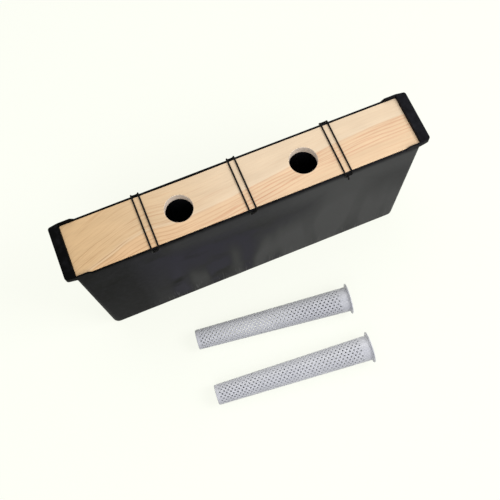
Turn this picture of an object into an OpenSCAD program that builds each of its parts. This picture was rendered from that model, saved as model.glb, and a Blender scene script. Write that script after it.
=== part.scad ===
// Frame feeder for a beehive: a deep plastic tub that hangs in the place of two frames.
// A pine board closes it and three wire clips tie its long walls together over the board.
// Two perforated sleeves, the climbing ladders, lie beside it. In use they hang in the
// board's holes. Millimetres, +X along the feeder, +Z up, the origin on the floor
// at the middle of the tub's base.

/* [Tub] */
// Length of the tub's wall just under the rim
tub_len = 459; // [430:0.5:470]
// Width of the tub's wall just under the rim
tub_wid = 75.4; // [66:0.2:90]
// Height of the rim above the floor
rim_z = 230; // [140:1:300]
// How far each wall leans in from the rim to the floor
lean = 1.8; // [0.5:0.1:4]
// Thickness of the walls below the board
wall = 2.2; // [1.8:0.1:3.5]
// Thickness of the long walls beside the board
side_wall = 1.9; // [1.2:0.1:3]
// Thickness of the end walls beside the board
end_wall = 1.7; // [1.2:0.1:3]
// Thickness of the floor
floor_t = 2.2; // [1.6:0.1:4]
// Corner radius of the wall at the rim
rim_corner = 5; // [4:0.5:8]
// Corner radius of the wall at the floor
floor_corner = 10; // [6:0.5:16]
// Rounding where the walls meet the floor
edge_round = 3; // [1:0.5:5]
// Height of the rim band
band_h = 4; // [2:0.5:8]
// How far the rim band stands proud of the wall
band_proud = 0.3; // [0.2:0.1:1]

/* [Ribs that carry the board] */
// Number of ribs on each long wall
rib_count = 12; // [4:1:20]
// Width of a rib
rib_w = 3; // [2:0.5:6]
// How far a rib reaches under the board
rib_reach = 2.2; // [1.5:0.1:4]
// Distance of the end ribs from the middle line
end_rib_y = 18; // [8:1:26]

/* [Ears] */
// How far each ear stands out past the end wall
ear_reach = 11.5; // [6:0.5:16]
// Thickness of an ear
ear_t = 9; // [6:0.5:14]
// How far the ears stand above the rim
ear_rise = 5; // [3:0.5:8]
// How much each ear narrows on each side towards its end
ear_taper = 2; // [0:0.5:6]
// Rounding of the ears' corners in plan
ear_round = 3; // [1:0.5:6]
// How far the side arms run along the board
arm_len = 15; // [8:1:30]

/* [Board] */
// Thickness of the board
board_t = 12.7; // [8:0.1:20]
// Corner radius of the board
board_corner = 1.5; // [1:0.5:3]
// Clearance between the board and the tub
board_gap = 0.3; // [0.2:0.05:1]
// Diameter of the two holes for the ladders
hole_d = 36.5; // [30:0.5:44]
// Distance of each hole from the middle of the board
hole_x = 83.5; // [60:0.5:88]

/* [Wire clips] */
// Distance from one clip to the next
clip_pitch = 128; // [118:1:150]
// Diameter of the wire
wire_d = 2; // [1.4:0.1:3]
// Distance between the two legs of a clip
leg_gap = 9.2; // [7:0.2:14]
// Clearance between the wire and what it crosses
wire_gap = 0.3; // [0.2:0.05:1]
// Inside radius of the wire's small bends
inner_bend = 0.6; // [0.3:0.1:0.9]
// Straight drop of the upper front end below the bend
front_drop = 2; // [1:0.5:8]
// Distance from the tip of a turned-in front end to the other leg
end_gap = 2; // [0.5:0.1:3]
// Straight drop of the rear loop below the bend
rear_drop = 3; // [1:0.5:10]
// Angle that the rear loop is bent down by
rear_angle = 80; // [40:5:90]
// Angle of the rear loop on the last clip, which is sprung open
open_angle = 50; // [40:5:90]
// Length of the last clip's loose tail
tail_len = 5; // [2:0.5:10]
// How far the tail starts from the bend of its leg
tail_setback = 0.8; // [0.2:0.1:3]

/* [Ladders] */
// Outer diameter of the sleeve at its small end
foot_d = 28.8; // [24:0.2:34]
// Clearance round the sleeve in the board's hole
ladder_gap = 0.25; // [0.2:0.05:1]
// Wall thickness of the sleeve
sleeve_wall = 1.2; // [0.8:0.1:2]
// How far the flange reaches past the edge of the board's hole
flange_reach = 4; // [2:0.5:8]
// Thickness of the flange
flange_t = 1.4; // [1:0.1:3]
// Clearance between the hanging ladder's foot and the tub's floor
foot_gap = 0.7; // [0.3:0.1:5]
// Width of the plain band under the flange
plain_top = 13; // [8:1:40]
// Width of the plain band at the foot
plain_foot = 3; // [2:0.5:10]
// Columns of holes round the sleeve
hole_cols = 24; // [12:2:28]
// Holes in each column
hole_rows = 28; // [4:1:32]
// Diameter of the holes in the sleeve
mesh_d = 2.8; // [1.5:0.1:3]

/* [Places of the two ladders on the floor] */
// Middle of the first ladder, left or right
ladder_1_x = -10; // [-60:1:60]
// Distance of its middle from the tub's long wall
ladder_1_away = 87; // [70:0.5:140]
// Angle of the first ladder to the tub
ladder_1_angle = -7.5; // [-18:0.5:16]
// Middle of the second ladder, left or right
ladder_2_x = -12.5; // [-60:0.5:60]
// Distance of its middle from that of the first ladder, to the front
ladder_apart = 80.6; // [66:0.2:120]
// Angle of the second ladder to the tub
ladder_2_angle = -5.5; // [-20:0.5:4]

/* [Hidden] */
round_fn = 32;
smooth_fn = 64;
wire_sides = 10;
// Largest turn of the wire between two of its rings
bend_step_angle = 18;
// A cut runs this far past the face it opens
over = 1;
// Thickness of the slices that a hull spans
slice = 0.01;
ear_top = rim_z + ear_rise;
ear_len = tub_len + 2 * ear_reach;
band_len = tub_len + 2 * band_proud;
band_wid = tub_wid + 2 * band_proud;
pocket_len = tub_len - 2 * end_wall;
pocket_wid = tub_wid - 2 * side_wall;
board_len = pocket_len - 2 * board_gap;
board_wid = pocket_wid - 2 * board_gap;
seat_z = rim_z - board_t;
wire_z = rim_z + wire_gap + wire_d / 2;
wire_y = band_wid / 2 + wire_gap + wire_d / 2;
// Radius of the small bends at the wire's middle line
wire_bend = inner_bend + wire_d / 2;
turn_in = leg_gap - wire_bend - wire_d / 2 - end_gap;
sleeve_d = hole_d - 2 * ladder_gap;
sleeve_len = rim_z - floor_t - foot_gap;
ladder_len = sleeve_len + flange_t;
flange_d = hole_d + 2 * flange_reach;
ladder_1_y = -tub_wid / 2 - ladder_1_away;
ladder_2_y = ladder_1_y - ladder_apart;

// Rounded rectangle, centred
module rounded_plan(len, wid, r) {
    offset(r = r, $fn = round_fn) square([len - 2 * r, wid - 2 * r], center = true);
}

// Four corner posts of a drafted box, inset from the tub's outside by one wall thickness.
// The posts are narrower at z0, where their foot is rounded over by edge.
module corner_posts(inset, z0, z1, edge) {
    for (sx = [-1, 1], sy = [-1, 1]) {
        for (a = [0 : 30 : 90]) {
            z = z0 + edge * (1 - cos(a));
            r = max(floor_corner - inset - edge * (1 - sin(a)), 0.5);
            corner_disk(sx, sy, z, inset + edge * (1 - sin(a)), r);
        }
        corner_disk(sx, sy, z1, inset, max(rim_corner - inset, 0.5));
    }
}

module corner_disk(sx, sy, z, inset, r) {
    lean_here = lean * (1 - z / rim_z);
    translate([sx * (tub_len / 2 - lean_here - inset - r),
               sy * (tub_wid / 2 - lean_here - inset - r), z])
        cylinder(h = slice, r = r, $fn = round_fn);
}

// One end's ear with its two side arms, which slope down to the rim at their tips
module ear_bracket() {
    arm_x = pocket_len / 2 - arm_len;
    intersection() {
        translate([0, 0, ear_top - ear_t]) linear_extrude(ear_t)
            offset(r = ear_round, $fn = round_fn) offset(delta = -ear_round)
                polygon([[0, -band_wid / 2], [pocket_len / 2, -band_wid / 2],
                         [ear_len / 2, ear_taper - band_wid / 2],
                         [ear_len / 2, band_wid / 2 - ear_taper],
                         [pocket_len / 2, band_wid / 2], [0, band_wid / 2]]);
        translate([0, band_wid / 2 + over, 0]) rotate([90, 0, 0])
            linear_extrude(band_wid + 2 * over)
                polygon([[arm_x - ear_rise, ear_top - ear_t], [ear_len / 2, ear_top - ear_t],
                         [ear_len / 2, ear_top], [arm_x, ear_top], [arm_x - ear_rise, rim_z]]);
    }
}

// Ribs on the inside of the tub. The board rests on their tops.
module ribs() {
    tip_y = board_wid / 2 - rib_reach;
    tip_x = board_len / 2 - rib_reach;
    rib_step = (board_len - 2 * floor_corner) / rib_count;
    for (side = [-1, 1]) {
        for (i = [0 : rib_count - 1])
            translate([(i - (rib_count - 1) / 2) * rib_step - rib_w / 2,
                       side > 0 ? tip_y : -tip_y - tub_wid, 0])
                cube([rib_w, tub_wid, seat_z]);
        for (y = [-end_rib_y, end_rib_y])
            translate([side > 0 ? tip_x : -tip_x - tub_wid, y - rib_w / 2, 0])
                cube([tub_wid, rib_w, seat_z]);
    }
}

module tub() {
    color([0.07, 0.07, 0.08]) difference() {
        union() {
            hull() corner_posts(0, 0, rim_z - band_h, edge_round);
            translate([0, 0, rim_z - band_h])
                linear_extrude(band_h) rounded_plan(band_len, band_wid, rim_corner);
            ear_bracket();
            mirror([1, 0, 0]) ear_bracket();
        }
        // Pocket for the board, open at the top
        translate([0, 0, seat_z])
            linear_extrude(board_t + ear_rise + over)
                rounded_plan(pocket_len, pocket_wid, board_corner);
        // Space for the syrup
        difference() {
            hull() corner_posts(wall, floor_t, seat_z, edge_round / 2);
            ribs();
        }
    }
}

module cap_board() {
    color([0.90, 0.78, 0.62]) difference() {
        translate([0, 0, seat_z])
            linear_extrude(board_t) rounded_plan(board_len, board_wid, board_corner);
        for (x = [-hole_x, hole_x])
            translate([x, 0, seat_z - over])
                cylinder(h = board_t + 2 * over, d = hole_d, $fn = smooth_fn);
    }
}

// Points along a bent wire. Each move is a straight length, and then a bend: its angle,
// its radius and the direction that it turns towards. p and t are where the wire starts
// and where it heads.
function wire_path(moves, p, t, i = 0) =
    i >= len(moves) ? [p] :
    let (m = moves[i], q = p + m[0] * t, n = ceil(m[1] / bend_step_angle))
    concat(i == 0 ? [p] : [],
           [for (k = [0 : n - 1]) q + arc_point(t, m[3], m[2], m[1] * k / n)],
           wire_path(moves, q + arc_point(t, m[3], m[2], m[1]),
                     cos(m[1]) * t + sin(m[1]) * m[3], i + 1));

// Where a bend of radius r has got to after angle a
function arc_point(t, toward, r, a) = r * (sin(a) * t + (1 - cos(a)) * toward);

function unit(v) = v / norm(v);

// Direction of the wire at one of its points
function heading(path, i) =
    unit((i > 0 ? unit(path[i] - path[i - 1]) : [0, 0, 0])
       + (i < len(path) - 1 ? unit(path[i + 1] - path[i]) : [0, 0, 0]));

// Side direction at every point, turned from one to the next without twisting
function side_directions(path, i, side) =
    i >= len(path) ? [] :
    let (t = heading(path, i), s = unit(side - (side * t) * t))
    concat([s], side_directions(path, i + 1, s));

// Round wire along a path, as one closed solid
module wire(path, start_side) {
    sides = side_directions(path, 0, start_side);
    rings = len(path);
    points = [for (i = [0 : rings - 1])
                let (t = heading(path, i), u = sides[i], v = cross(t, u))
                for (k = [0 : wire_sides - 1])
                    path[i] + wire_d / 2 * (cos(360 * k / wire_sides) * u
                                          + sin(360 * k / wire_sides) * v)];
    skin = [for (i = [0 : rings - 2], k = [0 : wire_sides - 1])
              let (a = i * wire_sides + k, b = i * wire_sides + (k + 1) % wire_sides)
              [a, a + wire_sides, b + wire_sides, b]];
    start_cap = [[for (k = [0 : wire_sides - 1]) k]];
    end_cap = [[for (k = [wire_sides - 1 : -1 : 0]) (rings - 1) * wire_sides + k]];
    polyhedron(points, concat(skin, start_cap, end_cap), convexity = 6);
}

// One clip, bent from a single wire. It starts under the front rim at the right leg's
// turned-in end, runs over the board, makes a round loop behind the rear rim and comes
// back as the left leg. The left end lies under the right one. Where it has a tail, the
// left end is shorter and is bent outwards and down.
module wire_clip(place, angle, tail) {
    up = [0, 0, 1];
    back = [0, 1, 0];
    right = [1, 0, 0];
    across = 2 * (wire_y - wire_bend);
    low_drop = front_drop + wire_d + wire_gap;
    last_len = tail > 0 ? tail_setback : turn_in;
    moves = [[turn_in, 90, wire_bend, up],
             [front_drop, 90, wire_bend, back],
             [across, angle, wire_bend, -up],
             [rear_drop, 180, leg_gap / 2, -right],
             [rear_drop, angle, wire_bend, -sin(angle) * back - cos(angle) * up],
             [across, 90, wire_bend, -up],
             [low_drop, 90, wire_bend, right],
             [last_len, tail > 0 ? 90 : 1, wire_bend, unit(-back - up)],
             [tail, 1, wire_bend, up]];
    color([0.06, 0.06, 0.06])
        translate([place * clip_pitch + leg_gap / 2 - wire_bend - turn_in, -wire_y,
                   wire_z - 2 * wire_bend - front_drop])
            wire(wire_path([for (m = moves) if (m[0] > 0) m], [0, 0, 0], right), up);
}

// Many-sided cone between two radii. Each side is a flat strip that takes one column of holes.
module strip_cone(r_low, r_high, h) {
    hull() {
        cylinder(h = slice, r = r_low, $fn = hole_cols);
        translate([0, 0, h - slice]) cylinder(h = slice, r = r_high, $fn = hole_cols);
    }
}

// Staggered columns of holes, each drilled square to its flat strip
module mesh_holes() {
    flat = cos(180 / hole_cols);
    pitch = (sleeve_len - plain_top - plain_foot - mesh_d) / (hole_rows - 0.5);
    strip_tilt = atan((sleeve_d - foot_d) / 2 * flat / sleeve_len);
    for (c = [0 : hole_cols - 1], i = [0 : hole_rows - 1])
        rotate([0, 0, 360 * (c + 0.5) / hole_cols])
            translate([foot_d / 2 * flat, 0, 0]) rotate([0, strip_tilt, 0])
                translate([-2 * sleeve_wall, 0,
                           plain_foot + mesh_d / 2 + (i + (c % 2) / 2) * pitch])
                    rotate([0, 90, 0]) cylinder(h = 3 * sleeve_wall, d = mesh_d, $fn = 16);
}

// Ladder that stands on its foot at the origin
module ladder() {
    color([0.72, 0.73, 0.77]) difference() {
        union() {
            strip_cone(foot_d / 2, sleeve_d / 2, sleeve_len);
            translate([0, 0, sleeve_len]) cylinder(h = flange_t, d = flange_d, $fn = smooth_fn);
        }
        translate([0, 0, -slice])
            strip_cone(foot_d / 2 - sleeve_wall, sleeve_d / 2 - sleeve_wall,
                       sleeve_len + 2 * slice);
        translate([0, 0, sleeve_len - slice])
            cylinder(h = flange_t + over, r = (sleeve_d / 2 - sleeve_wall) * cos(180 / hole_cols),
                     $fn = smooth_fn);
        mesh_holes();
    }
}

// Ladder that lies on the floor on its flange and its foot, its flange to the right
module lying_ladder(x, y, turn) {
    lie = atan((flange_d - foot_d) / 2 / sleeve_len);
    translate([x, y, 0]) rotate([0, 0, turn])
        translate([-ladder_len / 2 * cos(lie), 0, foot_d / 2 * cos(lie)])
            rotate([0, 90 - lie, 0]) ladder();
}

tub();
cap_board();
wire_clip(-1, rear_angle, 0);  // wire_clip_1
wire_clip(0, rear_angle, 0);  // wire_clip_2
wire_clip(1, open_angle, tail_len);  // wire_clip_3
lying_ladder(ladder_1_x, ladder_1_y, ladder_1_angle);  // ladder_1
lying_ladder(ladder_2_x, ladder_2_y, ladder_2_angle);  // ladder_2
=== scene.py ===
import math

import bmesh
import bpy
from mathutils import Matrix, Vector


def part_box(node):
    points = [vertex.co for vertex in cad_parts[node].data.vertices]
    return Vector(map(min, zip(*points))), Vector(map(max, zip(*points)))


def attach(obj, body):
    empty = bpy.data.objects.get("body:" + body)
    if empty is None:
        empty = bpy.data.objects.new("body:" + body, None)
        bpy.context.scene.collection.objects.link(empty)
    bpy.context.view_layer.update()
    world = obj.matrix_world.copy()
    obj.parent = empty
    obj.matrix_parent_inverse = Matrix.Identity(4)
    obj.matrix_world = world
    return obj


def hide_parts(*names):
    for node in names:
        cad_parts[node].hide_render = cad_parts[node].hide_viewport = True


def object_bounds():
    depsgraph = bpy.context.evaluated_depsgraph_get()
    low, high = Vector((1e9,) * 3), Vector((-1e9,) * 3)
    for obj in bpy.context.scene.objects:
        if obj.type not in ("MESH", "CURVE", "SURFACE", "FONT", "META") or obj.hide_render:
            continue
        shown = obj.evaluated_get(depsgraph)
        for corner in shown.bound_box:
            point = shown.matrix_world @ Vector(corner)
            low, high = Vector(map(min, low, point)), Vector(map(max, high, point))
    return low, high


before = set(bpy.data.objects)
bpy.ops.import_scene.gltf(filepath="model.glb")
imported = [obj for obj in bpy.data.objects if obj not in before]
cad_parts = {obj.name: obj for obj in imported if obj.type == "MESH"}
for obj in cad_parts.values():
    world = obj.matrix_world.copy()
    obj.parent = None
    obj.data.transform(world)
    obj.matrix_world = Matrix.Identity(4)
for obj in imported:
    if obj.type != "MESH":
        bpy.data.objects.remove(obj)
cad_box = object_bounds()

# The camera stands in front of the feeder, a little to its left, and looks steeply down
# on the board. It is placed from the middle of the ears' top face.
mm = 0.001
camera_azimuth = math.radians(-17.13)
camera_elevation = math.radians(70.61)
camera_roll = math.radians(-5.38)
camera_distance = 925.9 * mm
camera_across = 10.6 * mm
camera_up = -83.2 * mm
back = Vector((math.sin(camera_azimuth) * math.cos(camera_elevation),
               -math.cos(camera_azimuth) * math.cos(camera_elevation),
               math.sin(camera_elevation)))
level = Vector((math.cos(camera_azimuth), math.sin(camera_azimuth), 0))
right = Matrix.Rotation(camera_roll, 3, back) @ level
up = back.cross(right)
camera = bpy.data.objects.new("camera", bpy.data.cameras.new("camera"))
camera.data.lens = 54.0
camera.data.sensor_width = 36.0
camera.matrix_world = Matrix((right, up, back)).transposed().to_4x4()
camera.location = (Vector((0, 0, cad_box[1].z)) + camera_across * right + camera_up * up
                   + camera_distance * back)
bpy.context.scene.collection.objects.link(camera)
bpy.context.scene.camera = camera
bpy.context.scene.view_settings.view_transform = "Standard"

# The floor is a wide pale sheet. Seen straight on or in a gloss it shows cream paper,
# and a part of its brightness comes from the lamps, so that it takes a faint shadow.
paper = (0.985, 1.0, 0.905, 1.0)


def feed(tree, fed, inputs):
    """Sets a node's inputs to values, or links them to sockets or to nodes' first outputs."""
    for key, value in inputs.items():
        if isinstance(value, bpy.types.Node):
            value = value.outputs[0]
        if isinstance(value, bpy.types.NodeSocket):
            tree.links.new(value, fed.inputs[key])
        else:
            fed.inputs[key].default_value = value


def node_maker(tree):
    """A function that adds a node of a kind to tree, with its inputs and settings."""
    def add_node(kind, inputs=(), **settings):
        added = tree.nodes.new("ShaderNode" + kind)
        for key, value in settings.items():
            setattr(added, key, value)
        feed(tree, added, dict(inputs))
        return added
    return add_node


def new_material(name):
    """A material, a function that adds its nodes, and one that feeds its shader."""
    made = bpy.data.materials.new(name)
    made.use_nodes = True
    tree = made.node_tree
    shader = tree.nodes["Principled BSDF"]
    return made, node_maker(tree), lambda inputs: feed(tree, shader, inputs)


def times(node, value, *factors):
    """The product of all the values."""
    for factor in factors:
        value = node("Math", {0: value, 1: factor}, operation="MULTIPLY")
    return value


def largest(node, value, *others):
    for other in others:
        value = node("Math", {0: value, 1: other}, operation="MAXIMUM")
    return value


def blend(node, share, first, second, kind="MIX"):
    """The first colour where share is 0, the second where it is 1."""
    return node("MixRGB", {"Fac": share, "Color1": first, "Color2": second}, blend_type=kind)


def direct_rays(node):
    """1 for rays from the camera and for those that a gloss or clear plastic sends on."""
    rays = node("LightPath").outputs
    return largest(node, rays["Is Camera Ray"], rays["Is Glossy Ray"],
                   rays["Is Transmission Ray"])


floor_size = 12.0
floor_drop = 0.1 * mm
floor_mesh = bpy.data.meshes.new("floor")
bm = bmesh.new()
bmesh.ops.create_grid(bm, x_segments=1, y_segments=1, size=floor_size / 2,
                      matrix=Matrix.Translation((0, 0, -floor_drop)))
bm.to_mesh(floor_mesh)
bm.free()
floor = bpy.data.objects.new("floor", floor_mesh)
bpy.context.scene.collection.objects.link(floor)

floor_material, node, feed_shader = new_material("floor_paper")
seen_directly = direct_rays(node)
shade = blend(node, seen_directly, (0.60, 0.60, 0.58, 1), (0.17, 0.17, 0.17, 1))
seen_glow = 0.86
feed_shader({"Base Color": shade, "Roughness": 1.0, "Specular IOR Level": 0.0,
             "Emission Color": paper, "Emission Strength": times(node, seen_directly, seen_glow)})
floor.data.materials.append(floor_material)

# The world lights everything evenly and a little cool, and shows the same paper
world = bpy.data.worlds.new("studio")
world.use_nodes = True
bpy.context.scene.world = world
node = node_maker(world.node_tree)
fill = node("Background", {"Color": (0.95, 0.97, 1.0, 1), "Strength": 0.40})
seen = node("Background", {"Color": paper, "Strength": 1.0})
shown = node("MixShader", {0: direct_rays(node), 1: fill, 2: seen})
feed(world.node_tree, world.node_tree.nodes["World Output"], {"Surface": shown})


def soft_box(name, place, aim, size, power):
    """A square lamp at place that faces aim."""
    lamp = bpy.data.objects.new(name, bpy.data.lights.new(name, "AREA"))
    lamp.data.size = size
    lamp.data.energy = power
    lamp.matrix_world = (Vector(place) - Vector(aim)).to_track_quat("Z", "Y").to_matrix().to_4x4()
    lamp.location = place
    bpy.context.scene.collection.objects.link(lamp)


# The key light stands on the right. The high one behind keeps the ladders' far side bright.
soft_box("key_light", (0.95, -0.55, 1.35), (0, 0, 0.15), 0.8, 11.5)
soft_box("front_light", (-0.45, -1.2, 1.5), (0, 0, 0.2), 0.9, 7)
soft_box("back_light", (-0.2, 0.85, 2.1), (0, 0, 0.1), 1.4, 9.5)

# The tub is one injection moulding in black polypropylene. Its deep walls lean in to the
# floor, a low band stiffens the rim, and an ear with two side arms at each end carries it
# in the hive. Ribs inside the walls hold up the board.
board_low, board_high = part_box("cap_board")
tub_low, tub_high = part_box("tub")
rim_z = board_high.z
seat_z = board_low.z
board_gap = 0.3 * mm
pocket_len = board_high.x - board_low.x + 2 * board_gap
pocket_wid = board_high.y - board_low.y + 2 * board_gap
band_wid = tub_high.y - tub_low.y
ear_len = tub_high.x - tub_low.x
ear_top = tub_high.z
band_proud = 0.3 * mm
band_h = 4 * mm
rim_t = 1.7 * mm
tub_len = pocket_len + 2 * rim_t
tub_wid = band_wid - 2 * band_proud
lean = 1.8 * mm
wall = 2.2 * mm
floor_t = 2.2 * mm
rim_corner = 5 * mm
floor_corner = 10 * mm
floor_round = 3 * mm
rim_soft = 0.5 * mm
board_corner = 1.5 * mm


def round_off(bm, geom, radius, segments, affect="EDGES"):
    """Rounds a solid's edges, or the corners of a flat face."""
    return bmesh.ops.bevel(bm, geom=geom, offset=radius, offset_type="OFFSET", segments=segments,
                           profile=0.5, affect=affect, material=-1)


def rounded_loft(rings):
    """Closed skin through round-cornered rings, each a length, width, radius and height."""
    bm = bmesh.new()
    length, width, radius, z = rings[0]
    place = Matrix.Translation((0, 0, z)) @ Matrix.Diagonal((length, width, 1, 1))
    sheet = bmesh.ops.create_grid(bm, x_segments=1, y_segments=1, size=0.5, matrix=place)
    rounded = round_off(bm, sheet["verts"], radius, 6, affect="VERTICES")
    loop = list(rounded["verts"][0].link_faces[0].edges)
    for next_length, next_width, next_radius, next_z in rings[1:]:
        grown = bmesh.ops.extrude_edge_only(bm, edges=loop)["geom"]
        loop = [e for e in grown if isinstance(e, bmesh.types.BMEdge)]
        for v in [v for v in grown if isinstance(v, bmesh.types.BMVert)]:
            corner = Vector((math.copysign(length / 2 - radius, v.co.x),
                             math.copysign(width / 2 - radius, v.co.y), z))
            next_corner = Vector((math.copysign(next_length / 2 - next_radius, v.co.x),
                                  math.copysign(next_width / 2 - next_radius, v.co.y), next_z))
            v.co = next_corner + (v.co - corner) * next_radius / radius
        length, width, radius, z = next_length, next_width, next_radius, next_z
    bmesh.ops.contextual_create(bm, geom=loop)
    bmesh.ops.recalc_face_normals(bm, faces=bm.faces)
    return bm


def finish_piece(name, bm, material, body, slot, *replaced, sharp=30):
    """The finished bmesh as an object that rides on a body and stands for its CAD nodes."""
    mesh = bpy.data.meshes.new(name)
    bm.to_mesh(mesh)
    bm.free()
    mesh.shade_smooth()
    mesh.set_sharp_from_angle(angle=math.radians(sharp))
    piece = bpy.data.objects.new(name, mesh)
    piece.data.materials.append(material)
    piece.modifiers.new("even_shading", "WEIGHTED_NORMAL").keep_sharp = True
    bpy.context.scene.collection.objects.link(piece)
    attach(piece, body)
    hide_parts(*replaced)


def combine(bm, other, how):
    """Joins other to bm, or cuts it from bm, and leaves one closed skin in bm."""
    objects = []
    for part in (bm, other):
        mesh = bpy.data.meshes.new("working")
        part.to_mesh(mesh)
        objects.append(bpy.data.objects.new("working", mesh))
        bpy.context.scene.collection.objects.link(objects[-1])
    other.free()
    modifier = objects[0].modifiers.new("combine", "BOOLEAN")
    modifier.operation = how
    modifier.solver = "EXACT"
    modifier.object = objects[1]
    result = objects[0].evaluated_get(bpy.context.evaluated_depsgraph_get())
    bm.clear()
    bm.from_mesh(result.to_mesh())
    result.to_mesh_clear()
    for working in objects:
        mesh = working.data
        bpy.data.objects.remove(working)
        bpy.data.meshes.remove(mesh)


def edges_along(bm, axis, length):
    """The edges that reach further than a length along an axis, 0 for x and 2 for z."""
    return [e for e in bm.edges if abs(e.verts[0].co[axis] - e.verts[1].co[axis]) > length]


# Outside of the tub, from the floor up: its rounded lower edge, the leaning walls and the
# rim band. Then the inside: the board's pocket, the ledge and the space for the syrup.
rings = []
round_steps = 4
for step in range(round_steps + 1):
    angle = math.radians(90 * step / round_steps)
    inset = floor_round * (1 - math.sin(angle))
    z = floor_round * (1 - math.cos(angle))
    rings.append((inset + lean * (1 - z / rim_z), floor_corner - inset, z))
wall_steps = 16
for step in range(1, wall_steps + 1):
    z = floor_round + (rim_z - band_h - floor_round) * step / wall_steps
    share = z / rim_z
    rings.append((lean * (1 - share), floor_corner + (rim_corner - floor_corner) * share, z))
rings += [(-band_proud, rim_corner, rim_z - band_h + band_proud),
          (-band_proud, rim_corner, rim_z - rim_soft),
          (-band_proud + 0.3 * rim_soft, rim_corner, rim_z - 0.3 * rim_soft),
          (-band_proud + rim_soft, rim_corner, rim_z)]
outside = [(tub_len - 2 * inset, tub_wid - 2 * inset, radius, z) for inset, radius, z in rings]
pocket = [(pocket_len + rim_soft, pocket_wid + rim_soft, board_corner, rim_z),
          (pocket_len, pocket_wid, board_corner, rim_z - rim_soft),
          (pocket_len, pocket_wid, board_corner, seat_z)]
inside = []
inside_steps = 6
for step in range(inside_steps + 1):
    z = seat_z + (floor_t + floor_round - seat_z) * step / inside_steps
    share = z / rim_z
    inset = wall + lean * (1 - share)
    radius = floor_corner + (rim_corner - floor_corner) * share - wall
    inside.append((tub_len - 2 * inset, tub_wid - 2 * inset, radius, z))
inset += floor_round / 2
inside.append((tub_len - 2 * inset, tub_wid - 2 * inset, radius - floor_round / 2, floor_t))
bm = rounded_loft(outside + pocket + inside)

# The long walls are thin, and cooled with shallow upright waves. They are the sum of three:
# each row is a wave's share of the depth, its length over two pi and its shift.
wave_cuts = 63
wave_depth = 0.28 * mm
waves = ((1.0, 13.5 * mm, 0.6), (0.7, 8.1 * mm, 2.1), (0.8, 31 * mm, -0.4))
bmesh.ops.subdivide_edges(bm, edges=edges_along(bm, 0, tub_len / 2), cuts=wave_cuts,
                          use_grid_fill=True)
for v in bm.verts:
    outer_wid = tub_wid / 2 - lean * (1 - v.co.z / rim_z)
    if abs(abs(v.co.y) - outer_wid) < 0.05 * mm and floor_round < v.co.z < rim_z - band_h - 1 * mm:
        # They are deepest a fifth of the way up, and die out below the rim band
        height = v.co.z / rim_z
        fade = math.sin(math.pi * min(1.0, 0.15 + height) ** 0.8) * (1.15 - height)
        wave = sum(share * math.sin(v.co.x / length + shift) for share, length, shift in waves)
        v.co.y += math.copysign(wave_depth * wave * fade / 2, v.co.y)

# Each ear reaches a little into the walls, and is then made one with them
ear_t = 9 * mm
arm_len = 15 * mm
ear_taper = 2 * mm
ear_corner = 3 * mm
ear_soft = 0.7 * mm
ear_lap = 0.05 * mm


def ear_bracket(side):
    """One end's ear and its two side arms, whose tips slope down to the rim."""
    ear = bmesh.new()
    arm_x = pocket_len / 2 - arm_len
    rise = ear_top - rim_z
    outer = band_wid / 2 + ear_lap
    inner = pocket_wid / 2 + ear_lap
    outline = [(arm_x - rise, -outer), (pocket_len / 2, -outer), (ear_len / 2, ear_taper - outer),
               (ear_len / 2, outer - ear_taper), (pocket_len / 2, outer), (arm_x - rise, outer),
               (arm_x - rise, inner), (pocket_len / 2 + ear_lap, inner),
               (pocket_len / 2 + ear_lap, -inner), (arm_x - rise, -inner)]
    corners = [ear.verts.new((side * x, y, ear_top - ear_t - ear_lap)) for x, y in outline]
    ear.faces.new(corners)
    round_off(ear, corners[2:4], ear_corner, 6, affect="VERTICES")
    bottom = corners[0].link_faces[0]
    top = bottom
    for z in (rim_z, ear_top):
        below = top
        grown = bmesh.ops.extrude_face_region(ear, geom=[below])["geom"]
        top = next(f for f in grown if isinstance(f, bmesh.types.BMFace))
        for v in top.verts:
            v.co.z = z
        if below is not bottom:
            bmesh.ops.delete(ear, geom=[below], context="FACES_ONLY")
    tips = [v for v in top.verts if abs(v.co.x) < arm_x]
    bmesh.ops.translate(ear, vec=(side * rise, 0, 0), verts=tips)
    bmesh.ops.recalc_face_normals(ear, faces=ear.faces)
    round_off(ear, top.edges[:], ear_soft, 3)
    return ear


for side in (-1, 1):
    combine(bm, ear_bracket(side), "UNION")

# Ribs inside carry the board: a row on each long wall, and two at each end
rib_count = 12
rib_w = 3 * mm
rib_reach = 2.2 * mm
end_rib_y = 18 * mm
rib_step = (pocket_len - 2 * board_gap - 2 * floor_corner) / rib_count
rib_foot = floor_t / 2
rib_top = seat_z - 0.03 * mm
long_wall_spots = [(i - (rib_count - 1) / 2) * rib_step for i in range(rib_count)]
ribs = bmesh.new()
for spots, pocket_size, outer_size in ((long_wall_spots, pocket_wid, tub_wid),
                                       ((-end_rib_y, end_rib_y), pocket_len, tub_len)):
    tip = pocket_size / 2 - board_gap - rib_reach
    for spot in spots:
        for side in (-1, 1):
            for v in bmesh.ops.create_cube(ribs, size=1)["verts"]:
                z = rib_top if v.co.z > 0 else rib_foot
                root = outer_size / 2 - lean * (1 - z / rim_z) - wall / 2
                along = spot + v.co.x * rib_w
                out = side * (root if v.co.y > 0 else tip)
                v.co = (along, out, z) if outer_size == tub_wid else (out, along, z)
bmesh.ops.recalc_face_normals(ribs, faces=ribs.faces)
combine(bm, ribs, "UNION")


def slope(node, value, start, end, low=0.0, high=1.0, kind="LINEAR"):
    """Low up to start and high from end on, with a slope between. End may be the smaller."""
    return node("MapRange", {"Value": value, "From Min": start, "From Max": end,
                             "To Min": low, "To Max": high}, interpolation_type=kind)


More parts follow.
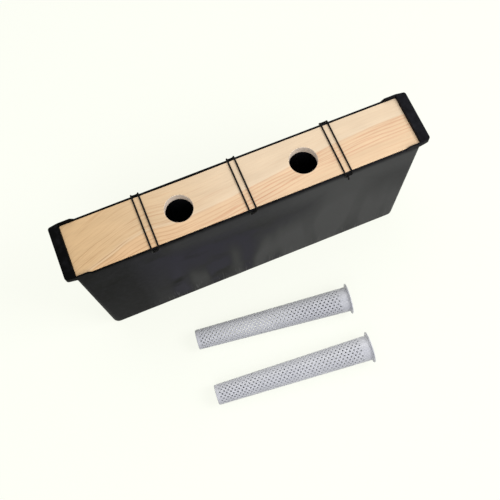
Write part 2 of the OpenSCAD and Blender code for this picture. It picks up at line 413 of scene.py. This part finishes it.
def noise(node, place, scale, detail, roughness=0.5, shift=(0, 0, 0)):
    """Cloudy tones from 0 to 1. Scale is how many lie in a metre along x, y and z."""
    stretched = node("Mapping", {"Vector": place, "Scale": scale, "Location": shift})
    return node("TexNoise", {"Vector": stretched, "Scale": 1.0, "Detail": detail,
                             "Roughness": roughness})


tub_plastic, node, feed_shader = new_material("black_tub_plastic")
place = node("TexCoord").outputs["Object"]
at_x, at_y, at_z = node("SeparateXYZ", {0: place}).outputs
# Cloudy patches as wide as a hand, and narrower upright ones low on the wall, which are painted
# reflections on the wall's waves
cloud = noise(node, place, (7, 7, 5), 2.0, 0.45)
column = noise(node, place, (24, 24, 4.5), 1.5)
low_band = slope(node, at_z, 170 * mm, 50 * mm)
past_left = slope(node, at_x, -170 * mm, -110 * mm, low=0.1)
reflection_column_tone = slope(node, column, 0.42, 0.66, high=0.9)
low_reflection_columns = times(node, reflection_column_tone, low_band, past_left)
# The wall is painted greyer towards the right: painted light from the lamp on the right
painted_light_side_tone = slope(node, at_x, tub_low.x, 0.7 * tub_high.x, -0.27, 0.41)
cloud_tone = slope(node, cloud, 0.3, 0.7, high=0.35)
tone = node("Math", {0: painted_light_side_tone, 1: cloud_tone}, operation="ADD")
# A painted highlight lies as a paler strip under the rim band, and a painted reflection as a wide
# pale patch near the right end
strip_high = slope(node, at_z, 165 * mm, 200 * mm)
strip_from = slope(node, at_x, -128 * mm, -98 * mm)
painted_highlight_strip = times(node, strip_high, strip_from)
patch_from = slope(node, at_x, 70 * mm, 105 * mm)
patch_to = slope(node, at_x, 185 * mm, 150 * mm)
patch_high = slope(node, at_z, 20 * mm, 90 * mm)
painted_reflection_patch = times(node, patch_from, patch_to, patch_high)
paler_by = 0.29
painted_reflection_tone = node("Math", {0: largest(node, painted_highlight_strip, painted_reflection_patch), 1: paler_by, 2: low_reflection_columns},
                 operation="MULTIPLY_ADD")
tone_sum = node("Math", {0: tone, 1: painted_reflection_tone}, operation="ADD", use_clamp=True)
# Short bright scuffs stand upright along the wall's lower edge
scuff = noise(node, place, (330, 330, 22), 1.0)
scuff_tone = slope(node, scuff, 0.57, 0.68)
near_floor = slope(node, at_z, 45 * mm, 6 * mm)
scuffed = times(node, scuff_tone, near_floor, past_left)
# Above the wall's top the band, the ears and the rim keep their first, deeper black
wall_only = slope(node, at_z, rim_z - band_h + 1 * mm, rim_z - band_h - 8 * mm)
grey = times(node, tone_sum, wall_only)
# The first black is mottled, and painted lighter towards the right end as painted light from the
# lamp on the right
mottle = noise(node, place, (110, 110, 110), 4.0, 0.65)
painted_light_to_right = slope(node, at_x, tub_low.x, tub_high.x, -0.30, 0.12)
mottled = node("Math", {0: mottle, 1: painted_light_to_right}, operation="ADD")
first_share = slope(node, mottled, 0.20, 0.75)
first_black = blend(node, first_share, (0.0020, 0.0020, 0.0022, 1), (0.0155, 0.0155, 0.0185, 1))
wall_tint = blend(node, grey, first_black, (0.082, 0.082, 0.081, 1))
# Patches of the wall's left half have a faint violet sheen
sheen = noise(node, place, (15, 15, 22), 3.0, shift=(0.6, 0.2, 0.4))
sheen_tone = slope(node, sheen, 0.36, 0.52)
left_half = slope(node, at_x, 100 * mm, -20 * mm)
off_columns = slope(node, low_reflection_columns, 0.0, 0.4, 1.0, 0.0)
off_strip = slope(node, painted_highlight_strip, 0.0, 1.0, 1.0, 0.15)
violet_share = times(node, sheen_tone, left_half, off_columns, past_left, off_strip, wall_only)
violet = blend(node, violet_share, wall_tint, (0.0295, 0.0278, 0.0405, 1))
tint = blend(node, scuffed, violet, (0.105, 0.105, 0.105, 1))
# The inside's skin is an even, bluer black, painted paler than the deepest outside black as painted
# light that comes in through the board's holes. The middle of the wall's thickness divides it from
# the outside, also round the tub's upright corners.
half_wall = slope(node, at_z, 0.0, rim_z, lean + wall / 2, wall / 2)
middle_corner = floor_corner - wall / 2
past_corner = {}
for axis, at, half_size in (("X", at_x, tub_len / 2), ("Y", at_y, tub_wid / 2)):
    distance = node("Math", {0: at}, operation="ABSOLUTE")
    outer = node("Math", {0: distance, 1: half_wall}, operation="ADD")
    past = node("Math", {0: outer, 1: half_size - middle_corner}, operation="SUBTRACT")
    past_corner[axis] = largest(node, past, 0.0)
corner_place = node("CombineXYZ", past_corner)
corner_reach = node("VectorMath", {0: corner_place}, operation="LENGTH").outputs["Value"]
in_plan = node("Math", {0: corner_reach, 1: middle_corner}, operation="LESS_THAN")
above_floor = node("Math", {0: at_z, 1: floor_t / 2}, operation="GREATER_THAN")
below_ledge = node("Math", {0: at_z, 1: seat_z - 0.5 * mm}, operation="LESS_THAN")
inner = times(node, in_plan, above_floor, below_ledge)
skin = blend(node, inner, tint, (0.042, 0.042, 0.052, 1))
dull = slope(node, cloud, 0.0, 1.0, 0.42, 0.58)
grain = noise(node, place, (900, 900, 900), 2.0)
relief = node("Bump", {"Height": grain, "Strength": 0.25, "Distance": 0.05 * mm})
feed_shader({"Base Color": skin, "Roughness": dull, "Specular IOR Level": 0.02, "Normal": relief})
finish_piece("moulded_tub", bm, tub_plastic, "tub", "tub_plastic", "tub")

# The cap board is one planed pine board, let in flush with the rim. Its two round holes
# take the ladders. Its rear edge is sawn a little short and hollow, so the dark gap behind
# it is wider than in front. Edges and hole rims are broken with sandpaper.
hole_d = 36.5 * mm
hole_x = 83.5 * mm
edge_break = 0.4 * mm
board_t = rim_z - seat_z
rear_cuts = 40
rear_play = 0.4 * mm
rear_hollow = 0.6 * mm
hollow_middle = -62 * mm
hollow_reach = 50 * mm
bm = bmesh.new()
bmesh.ops.create_cube(bm, size=1, matrix=Matrix.Translation((board_low + board_high) / 2)
                      @ Matrix.Diagonal((*(board_high - board_low), 1)))
upright = edges_along(bm, 2, board_t / 2)
bmesh.ops.subdivide_edges(bm, edges=edges_along(bm, 0, hole_x), cuts=rear_cuts,
                          use_grid_fill=True)
for v in bm.verts:
    if v.co.y > 0:
        from_middle = (v.co.x - hollow_middle) / hollow_reach
        v.co.y -= rear_play + rear_hollow * math.exp(-from_middle ** 2)
round_off(bm, upright, board_corner, 4)
around = [e for e in bm.edges if e.calc_face_angle() > math.radians(60)]
round_off(bm, around, edge_break, 2)


def edges_at(verts):
    """Each edge at the vertices once, in an order that is the same in every run."""
    return list(dict.fromkeys(e for v in verts for e in v.link_edges))


for side in (-1, 1):
    drill = bmesh.new()
    discs = []
    flare = hole_d / 2 + 2 * edge_break
    for z, radius in ((seat_z - edge_break, flare), (seat_z + edge_break, hole_d / 2),
                      (rim_z - edge_break, hole_d / 2), (rim_z + edge_break, flare)):
        disc = bmesh.ops.create_circle(drill, segments=72, radius=radius, cap_ends=False,
                                       matrix=Matrix.Translation((side * hole_x, 0, z)))
        discs.append(edges_at(disc["verts"]))
    for lower, upper in zip(discs, discs[1:]):
        bmesh.ops.bridge_loops(drill, edges=lower + upper)
    bmesh.ops.contextual_create(drill, geom=discs[0])
    bmesh.ops.contextual_create(drill, geom=discs[-1])
    bmesh.ops.recalc_face_normals(drill, faces=drill.faces)
    combine(bm, drill, "DIFFERENCE")


def ramp(node, share, stops):
    """Colours along share, from 0 to 1. Each stop is its place and its colour."""
    made = node("ValToRGB", {"Fac": share})
    elements = made.color_ramp.elements
    for element, (position, color) in ((elements[0], stops[0]), (elements[1], stops[-1])):
        element.position = position
        element.color = color
    for position, color in stops[1:-1]:
        elements.new(position).color = color
    return made


pine, node, feed_shader = new_material("planed_pine")
place = node("TexCoord").outputs["Object"]
at_x, at_y, at_z = node("SeparateXYZ", {0: place}).outputs
x_share = slope(node, at_x, board_low.x, board_high.x)
# Edge between the pale sapwood at the back and the warmer heartwood at the front, along the
# board from left to right: a share of its length, and millimetres to the back of its middle.
# The curve holds these as values from 0 to 1, for 60 mm in front of the middle to 60 behind.
heart_edge = [(0.0, -44), (0.10, -27), (0.21, -15), (0.30, -18), (0.40, -15), (0.50, -9.5),
              (0.64, -1), (0.78, 5), (1.0, 9)]
across_range = 60
bend = node("FloatCurve", {"Value": x_share})
curve = bend.mapping.curves[0]
while len(curve.points) < len(heart_edge):
    curve.points.new(0.5, 0.5)
for point, (share, across) in zip(curve.points, heart_edge):
    point.location = (share, 0.5 + across / across_range / 2)
bend.mapping.update()
edge_y = slope(node, bend, 0.0, 1.0, -across_range * mm, across_range * mm)
drift = noise(node, place, (9, 40, 40), 2.0)
drift_y = slope(node, drift, 0.0, 1.0, -4 * mm, 4 * mm)
below = node("Math", {0: at_y, 1: edge_y}, operation="SUBTRACT")
# The rings slant through the board's thickness
ring_slant = 0.6
ring_pitch = 4.7 * mm
slant = node("Math", {0: at_z, 1: ring_slant, 2: -ring_slant * rim_z}, operation="MULTIPLY_ADD")
slanted = node("Math", {0: below, 1: slant}, operation="ADD")
ring = node("Math", {0: slanted, 1: drift_y}, operation="ADD")
ring_count = node("Math", {0: ring, 1: ring_pitch}, operation="DIVIDE")
ring_number = node("Math", {0: ring_count}, operation="FLOOR")
ring_phase = node("Math", {0: ring_count}, operation="FRACT")
late_wood = ((0.0, 0.8), (0.14, 0.12), (0.4, 0.0), (0.78, 0.22), (0.93, 1.0))
late = ramp(node, ring_phase, [(phase, (dark, dark, dark, 1)) for phase, dark in late_wood])
# No two rings are equally dark, and each fades and comes back along its length
ring_tone = node("TexWhiteNoise", {"W": ring_number}, noise_dimensions="1D")
ring_share = slope(node, ring_tone, 0.0, 1.0, 0.45, 1.1)
fade = noise(node, place, (16, 110, 110), 2.0)
fade_share = slope(node, fade, 0.3, 0.65, 0.4, 1.1)
heart = slope(node, ring, 2.5 * mm, -2.5 * mm, kind="SMOOTHSTEP")
# Towards the left end the sapwood has fine dark rings too, and the wood is yellower, and darker as
# painted shade, since the light falls from the right
left_end = slope(node, at_x, 40 * mm, board_low.x, kind="SMOOTHSTEP")
sap_lines = slope(node, left_end, 0.0, 1.0, 0.10, 0.26)
line_share = blend(node, heart, sap_lines, (1.0, 1.0, 1.0, 1))
ring_line = times(node, late, ring_share, fade_share, line_share)
# Finer lines run with the rings: many at the left end, a few in the heartwood
hair_place = node("CombineXYZ", {0: at_x, 1: ring})
hair = noise(node, hair_place, (13, 430, 1), 2.0, 0.6)
hair_tone = slope(node, hair, 0.53, 0.66)
hair_left = slope(node, left_end, 0.0, 1.0, 0.06, 0.75)
hair_share = blend(node, heart, hair_left, (0.5, 0.5, 0.5, 1))
hair_line = times(node, hair_tone, hair_share)
# At the right end they die out towards the front edge, at the left towards the back
deep_heart = slope(node, ring, -17 * mm, -27 * mm)
right_half = slope(node, at_x, -20 * mm, 70 * mm, high=0.75)
faint_front = times(node, deep_heart, right_half)
high_sap = slope(node, ring, 14 * mm, 40 * mm, high=0.6)
faint = node("Math", {0: faint_front, 1: high_sap}, operation="ADD")
kept_share = node("Math", {0: 1.0, 1: faint}, operation="SUBTRACT")
line = times(node, largest(node, ring_line, hair_line), kept_share)
# Sapwood and heartwood are painted darker towards the left end: painted shade
sap = blend(node, left_end, (0.84, 0.655, 0.455, 1), (0.735, 0.495, 0.262, 1))
red = blend(node, left_end, (0.86, 0.62, 0.395, 1), (0.795, 0.515, 0.275, 1))
plain = blend(node, heart, sap, red)
# A clean pale stripe lies along the heartwood's edge
stripe_low = slope(node, ring, 0.5 * mm, 2.5 * mm)
stripe_high = slope(node, ring, 7 * mm, 3.5 * mm, high=0.22)
stripe = times(node, stripe_low, stripe_high)
striped = blend(node, stripe, plain, (0.90, 0.745, 0.55, 1))
line_tint = blend(node, left_end, (0.63, 0.265, 0.145, 1), (0.44, 0.235, 0.105, 1))
ringed = blend(node, line, striped, line_tint)
# Fine fibres and soft blotches lie over all of it
fibre = noise(node, place, (26, 1100, 1100), 3.0)
fibre_tone = slope(node, fibre, 0.0, 1.0, 0.90, 1.09)
blotch = noise(node, place, (22, 70, 70), 2.0)
blotch_tone = slope(node, blotch, 0.0, 1.0, 0.90, 1.10)
wood = blend(node, 1.0, ringed, times(node, fibre_tone, blotch_tone), kind="MULTIPLY")
# The drilled walls of the two holes are fresher and paler than the face, and painted paler still as
# painted light, as they lie in shade
hole_side = node("Math", {0: at_x}, operation="ABSOLUTE")
hole_across = node("Math", {0: hole_side, 1: hole_x}, operation="SUBTRACT")
hole_place = node("CombineXYZ", {0: hole_across, 1: at_y})
hole_radius = node("VectorMath", {0: hole_place}, operation="LENGTH").outputs["Value"]
drilled = slope(node, hole_radius, hole_d / 2 + edge_break, hole_d / 2)
fresh_and_painted_light = blend(node, drilled, wood, (0.96, 0.82, 0.69, 1))
relief = node("Bump", {"Height": fibre, "Strength": 0.2, "Distance": 0.05 * mm})
feed_shader({"Base Color": fresh_and_painted_light, "Roughness": 0.62, "Specular IOR Level": 0.25, "Normal": relief})
finish_piece("pine_board", bm, pine, "cap_board", "pine", "cap_board", sharp=20)

# Each clip is bent from one length of black coated spring wire. It lies over the board as
# two legs, loops round behind the rear rim, and its two front ends are turned in below
# the front rim, one under the other. The third one's lower end is shorter and bent down.
wire_d = 2 * mm
coat_t = 0.12 * mm
leg_gap = 9.2 * mm
clip_pitch = 128 * mm
wire_gap = 0.3 * mm
wire_bend = 0.6 * mm + wire_d / 2
front_drop = 2 * mm
end_gap = 2 * mm
tail_start = 0.8 * mm
tail_turn = 105
end_turn = 1
turn_in = leg_gap - wire_bend - wire_d / 2 - end_gap
rear_drop = 3 * mm
bend_step = 9
wire_y = band_wid / 2 + wire_gap + wire_d / 2
wire_z = rim_z + wire_gap + wire_d / 2
wire_up = Vector((0, 0, 1))
wire_back = Vector((0, 1, 0))
wire_right = Vector((1, 0, 0))

wire_black, node, feed_shader = new_material("black_coated_wire")
place = node("TexCoord").outputs["Object"]
speckle = noise(node, place, (350, 350, 350), 2.0)
coat = slope(node, speckle, 0.0, 1.0, 0.30, 0.48)
shade = ramp(node, speckle, [(0.0, (0.004, 0.004, 0.004, 1)), (1.0, (0.012, 0.011, 0.011, 1))])
feed_shader({"Base Color": shade, "Roughness": coat, "Specular IOR Level": 0.05})


def bent_wire(start, heading, moves):
    """Points along a wire. A move is a straight run, then a bend: its angle, radius and side."""
    points = [start.copy()]
    here = start.copy()
    for run, angle, radius, toward in moves:
        here = here + run * heading
        steps = max(2, math.ceil(angle / bend_step))
        for step in range(steps + 1):
            turned = math.radians(angle * step / steps)
            points.append(here + radius * (math.sin(turned) * heading
                                           + (1 - math.cos(turned)) * toward))
        here = points[-1].copy()
        heading = math.cos(turned) * heading + math.sin(turned) * toward
    return points


def wire_clip(name, node_name, place, rear_angle, tail):
    """One clip, place pitches right of the middle. A tail is the length that hangs down."""
    turned = math.radians(rear_angle)
    down_and_forward = (-wire_back - wire_up).normalized()
    forward_and_down = (-0.9 * wire_back - 0.43 * wire_up).normalized()
    moves = [(turn_in, 90, wire_bend, wire_up),
             (front_drop, 90, wire_bend, wire_back),
             (2 * (wire_y - wire_bend), rear_angle, wire_bend, -wire_up),
             (rear_drop, 180, leg_gap / 2, -wire_right),
             (rear_drop, rear_angle, wire_bend,
              -math.sin(turned) * wire_back - math.cos(turned) * wire_up),
             (2 * (wire_y - wire_bend), 90, wire_bend, -wire_up),
             (front_drop + wire_d + wire_gap, 90, wire_bend, wire_right)]
    if tail:
        moves += [(tail_start, tail_turn, wire_bend, forward_and_down),
                  (tail, end_turn, wire_bend, wire_up)]
    else:
        moves += [(turn_in, end_turn, wire_bend, down_and_forward)]
    start = Vector((place * clip_pitch + leg_gap / 2 - wire_bend - turn_in, -wire_y,
                    wire_z - 2 * wire_bend - front_drop))
    points = bent_wire(start, wire_right, moves)
    line = bpy.data.curves.new(name, "CURVE")
    line.dimensions = "3D"
    line.bevel_depth = wire_d / 2 + coat_t
    line.bevel_resolution = 4
    line.use_fill_caps = True
    spline = line.splines.new("POLY")
    spline.points.add(len(points) - 1)
    for point, co in zip(spline.points, points):
        point.co = (*co, 1)
    drawn = bpy.data.objects.new("working", line)
    bpy.context.scene.collection.objects.link(drawn)
    bm = bmesh.new()
    bm.from_mesh(drawn.evaluated_get(bpy.context.evaluated_depsgraph_get()).to_mesh())
    bpy.data.objects.remove(drawn)
    bmesh.ops.remove_doubles(bm, verts=bm.verts, dist=0.01 * mm)
    bmesh.ops.recalc_face_normals(bm, faces=bm.faces)
    finish_piece(name, bm, wire_black, node_name, "black_wire", node_name, sharp=50)


wire_clip("spring_wire_left", "wire_clip_1", -1, 75, 0)
wire_clip("spring_wire_middle", "wire_clip_2", 0, 75, 0)
wire_clip("spring_wire_right", "wire_clip_3", 1, 67.5, 2.5 * mm)

# The ladders are tapered sleeves in pale grey translucent plastic, with a thin flange that
# hangs in the board's hole. Bees climb down inside them, and the syrup comes in through
# rows of small round holes. Here both lie on the floor, on their flange and their foot.
foot_d = 28.8 * mm
sleeve_d = hole_d - 0.5 * mm
sleeve_len = rim_z - floor_t - 0.7 * mm
sleeve_wall = 1.2 * mm
flange_d = hole_d + 8 * mm
flange_t = 1.4 * mm
ladder_len = sleeve_len + flange_t
column_pairs = 14
rows = 34
hole_pitch = 6.15 * mm
mesh_d = 2.5 * mm
plain_foot = 3 * mm
foot_edge = 1.2 * mm
fillet = 1.0 * mm
half_column = math.pi / (2 * column_pairs)


def sleeve_radius(z):
    return (foot_d + (sleeve_d - foot_d) * z / sleeve_len) / 2


def patch(bm, column, z_low, z_high, z_steps, hole):
    """One flat patch of a column, with or without its hole, wrapped on to the sleeve."""
    middle_z = (z_low + z_high) / 2
    radius = sleeve_radius(middle_z)
    before = set(bm.verts)
    sheet = bmesh.ops.create_grid(
        bm, x_segments=2, y_segments=z_steps, size=0.5,
        matrix=Matrix.Diagonal((2 * half_column * radius, z_high - z_low, 1, 1)))
    if hole:
        faces = list(dict.fromkeys(f for v in sheet["verts"] for f in v.link_faces))
        whole = bmesh.ops.dissolve_faces(bm, faces=faces)["region"][0]
        rim = list(whole.edges)
        bmesh.ops.delete(bm, geom=[whole], context="FACES_ONLY")
        ring = bmesh.ops.create_circle(bm, segments=12, radius=mesh_d / 2, cap_ends=False)
        bmesh.ops.bridge_loops(bm, edges=rim + edges_at(ring["verts"]))
    for v in set(bm.verts) - before:
        z = middle_z + v.co.y
        turn = v.co.x / radius + column * 2 * half_column
        v.co = (sleeve_radius(z) * math.cos(turn), sleeve_radius(z) * math.sin(turn), z)


def perforated_sleeve():
    """The sleeve with its flange, standing on its foot at the origin."""
    bm = bmesh.new()
    half = hole_pitch / 2
    top_row = plain_foot + half + rows * hole_pitch
    for column in (0, 1):
        start = plain_foot + half * column
        for row in range(rows):
            patch(bm, column, start + row * hole_pitch, start + (row + 1) * hole_pitch, 4, True)
        filler = plain_foot if column else top_row - half
        patch(bm, column, filler, filler + half, 2, False)
        patch(bm, column, foot_edge, plain_foot, 1, False)
        patch(bm, column, top_row, sleeve_len - fillet, 4, False)
    bmesh.ops.spin(bm, geom=bm.verts[:] + bm.edges[:] + bm.faces[:], cent=(0, 0, 0), axis=(0, 0, 1),
                   angle=2 * math.pi * (column_pairs - 1) / column_pairs, steps=column_pairs - 1,
                   use_duplicate=True)
    bmesh.ops.remove_doubles(bm, verts=bm.verts, dist=0.02 * mm)
    # Foot's rounded edge, and the fillet and plate of the flange
    for from_z, profile in ((foot_edge, [(-0.15 * mm, 0.5 * mm), (-0.6 * mm, 0.0)]),
                            (sleeve_len - fillet, [(0.3 * fillet, sleeve_len - 0.3 * fillet),
                                                   (fillet, sleeve_len),
                                                   (flange_d / 2 - sleeve_d / 2, sleeve_len)])):
        loop = [e for e in bm.edges
                if e.is_boundary and all(abs(v.co.z - from_z) < 0.01 * mm for v in e.verts)]
        for out, z in profile:
            grown = bmesh.ops.extrude_edge_only(bm, edges=loop)["geom"]
            loop = [e for e in grown if isinstance(e, bmesh.types.BMEdge)]
            for v in {v for e in loop for v in e.verts}:
                radius = sleeve_radius(min(z, sleeve_len)) + out
                flat = Vector((v.co.x, v.co.y, 0)).normalized()
                v.co = (flat.x * radius, flat.y * radius, z)
    bmesh.ops.recalc_face_normals(bm, faces=bm.faces)
    return bm


ladder_plastic, node, feed_shader = new_material("grey_ladder_plastic")
place = node("TexCoord").outputs["Object"]
cloud = noise(node, place, (30, 30, 30), 2.0)
tint = ramp(node, cloud, [(0.3, (0.56, 0.563, 0.61, 1)), (0.7, (0.618, 0.62, 0.665, 1))])
# Painted light: the rear side, the inside and the holes' edges are painted paler, for light that
# shines through the thin wall. The texture coordinates are the way round to the rear and the depth
# in the wall.
round_deep = node("SeparateXYZ", {0: node("TexCoord").outputs["UV"]}).outputs
painted_rear_light_share = slope(node, round_deep["X"], 0.55, 1.0)
rear_painted_light = blend(node, painted_rear_light_share, tint, (0.88, 0.88, 0.90, 1))
# Painted light and shade inside: palest half way along, and darker towards the foot and the flange
painted_inside_light = (0.84, 0.85, 0.89, 1)
along_sleeve = slope(node, node("SeparateXYZ", {0: place}).outputs["X"], -125 * mm, 105 * mm)
painted_inside_light_and_shade = ramp(node, along_sleeve, [(0.05, (0.50, 0.51, 0.55, 1)), (0.3, painted_inside_light),
                                        (0.55, painted_inside_light), (0.88, (0.38, 0.39, 0.42, 1))])
lit = blend(node, round_deep["Y"], rear_painted_light, painted_inside_light_and_shade)
frost = noise(node, place, (1200, 1200, 1200), 1.0)
relief = node("Bump", {"Height": frost, "Strength": 0.15, "Distance": 0.03 * mm})
feed_shader({"Base Color": lit, "Roughness": 0.36, "Subsurface Weight": 0.3,
             "Subsurface Radius": (1.0, 1.0, 1.0), "Subsurface Scale": 1.5 * mm, "Normal": relief})

lie = math.atan((flange_d - foot_d) / 2 / sleeve_len)
ladder_1_y = -tub_wid / 2 - 87 * mm
# The side that counts as the sleeve's rear faces back and a little up
rearward = 0.943
upward = 0.333
for name, node_name, x, y, turn in (
        ("ladder_sleeve_rear", "ladder_1", -10 * mm, ladder_1_y, -7.5),
        ("ladder_sleeve_front", "ladder_2", -12.5 * mm, ladder_1_y - 80.6 * mm, -5.5)):
    bm = perforated_sleeve()
    bmesh.ops.solidify(bm, geom=bm.faces[:], thickness=-sleeve_wall)
    unwrapped = bm.loops.layers.uv.new("round_and_deep")
    for loop in [loop for face in bm.faces for loop in face.loops]:
        down, to_rear, along = loop.vert.co
        out = math.hypot(down, to_rear)
        rear_and_up = (rearward * to_rear - upward * down) / out
        deep = sleeve_radius(min(along, sleeve_len)) - out
        loop[unwrapped].uv = (0.5 + rear_and_up / 2, min(1, max(0, deep / sleeve_wall)))
    lying = (Matrix.Translation((x, y, 0)) @ Matrix.Rotation(math.radians(turn), 4, "Z")
             @ Matrix.Translation((-ladder_len / 2 * math.cos(lie), 0, foot_d / 2 * math.cos(lie)))
             @ Matrix.Rotation(math.pi / 2 - lie, 4, "Y"))
    bmesh.ops.transform(bm, matrix=lying, verts=bm.verts)
    finish_piece(name, bm, ladder_plastic, node_name, "ladder_plastic", node_name, sharp=40)
